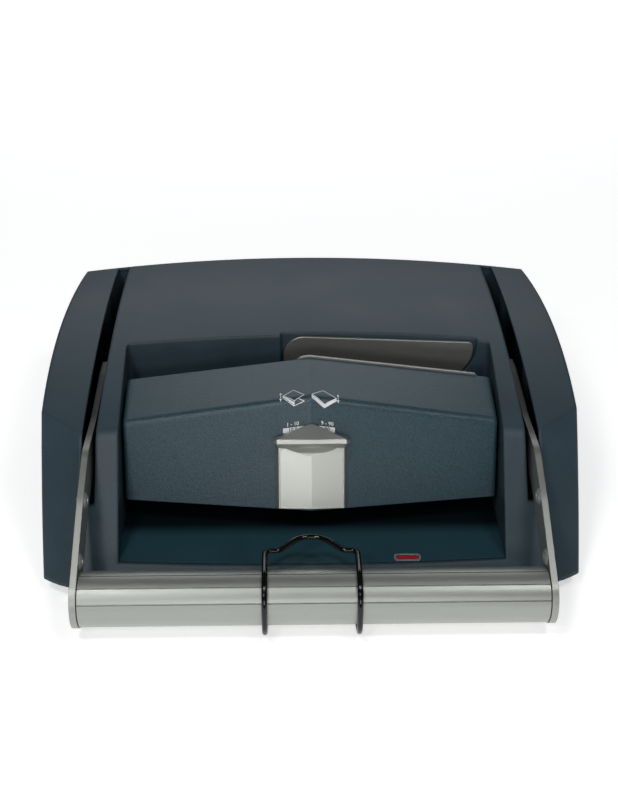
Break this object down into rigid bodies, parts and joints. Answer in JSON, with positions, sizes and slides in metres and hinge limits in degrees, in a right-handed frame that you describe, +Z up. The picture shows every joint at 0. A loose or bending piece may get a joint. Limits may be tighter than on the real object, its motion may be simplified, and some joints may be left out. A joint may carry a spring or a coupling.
{
  "type": "lever binding press",
  "caption": "Desk-top lever press for channel binding: wedge casing, full-width handle bar, top slot with rack-driven jaw, and a sliding thickness gauge over a tray.",
  "frame": {"origin": "on the table under the middle of the bounding box", "axes": "+X to the operator's right, +Y to the back, +Z up; the handle is at -Y"},
  "size_m": [0.4506, 0.4079, 0.1527],
  "materials": {
    "casing": "fine moulded grain, blue-grey",
    "slider_grey": "smooth satin light grey",
    "handle_alu": "anodised extrusion, satin",
    "arm_silver": "satin silver paint",
    "plate_metal": "brushed, lengthwise",
    "wire_black": "gloss black coating",
    "lens_red": "gloss, clear red",
    "bezel_chrome": "bright",
    "sheet_steel": "dark powder coat",
    "machined_steel": "machined",
    "fasteners": "zinc plated",
    "bronze": "sintered bronze",
    "rubber": "matte black"
  },
  "bodies": {
    "frame": {"top_casing": "casing", "document_tray": "casing", "indicator_bezel": "bezel_chrome", "indicator_lens": "lens_red", "hood_cover": "casing", "slot_edge_strip": "plate_metal", "base_plate": "sheet_steel", "rubber_feet": "rubber", "base_screws": "fasteners", "frame_right": "sheet_steel", "frame_left": "sheet_steel", "shaft_bushes": "bronze", "fixed_jaw": "machined_steel", "fixed_jaw_face": "machined_steel", "fixed_face_screws": "fasteners", "guide_rods": "machined_steel", "rear_cross_bar": "machined_steel", "frame_bolts": "fasteners", "spine_rest": "sheet_steel", "rack_guides": "sheet_steel", "guide_screws": "fasteners", "stop_posts": "sheet_steel", "stop_pads": "rubber", "hood_brackets": "sheet_steel", "hood_screws": "fasteners"},
    "lever": {"arm_left": "arm_silver", "arm_right": "arm_silver", "handle_bar": "handle_alu", "handle_plugs": "handle_alu", "handle_bolts": "fasteners", "arm_rivets": "arm_silver", "main_shaft": "machined_steel", "hub_screws": "fasteners", "shaft_collars": "machined_steel", "pinion_left": "machined_steel", "pinion_right": "machined_steel"},
    "press": {"press_jaw": "machined_steel", "press_jaw_face": "machined_steel", "press_face_screws": "fasteners", "guide_bushes": "bronze", "rack_left": "machined_steel", "rack_right": "machined_steel", "rack_screws": "fasteners"},
    "gauge": {"gauge_slider": "slider_grey", "slider_retainer": "sheet_steel", "slider_screw": "fasteners"},
    "bail": {"wire_bail": "wire_black"},
    "loose_plate": {"debinding_plate": "plate_metal"}
  },
  "joints": [
    {"name": "lever_swing", "type": "hinge", "parent": "frame", "child": "lever", "pos_m": [0, 0.15, 0.06], "axis": [-1, 0, 0], "range_deg": [0, 95]},
    {"name": "press_slide", "type": "slide", "parent": "frame", "child": "press", "axis": [0, 1, 0], "range_m": [0, 0.025]},
    {"name": "gauge_slide", "type": "slide", "parent": "frame", "child": "gauge", "axis": [0, -0.3511, -0.9363], "range_m": [0, 0.0195]},
    {"name": "bail_swing", "type": "hinge", "parent": "lever", "child": "bail", "pos_m": [0, -0.178, 0.03], "axis": [1, 0, 0], "range_deg": [-18, 95]},
    {"name": "plate_lift", "type": "slide", "parent": "frame", "child": "loose_plate", "axis": [0, 0, 1], "range_m": [0, 0.048]}
  ],
  "couplings": [
    {"joint": "press_slide", "follows": "lever_swing", "m_per_rad": 0.015}
  ]
}
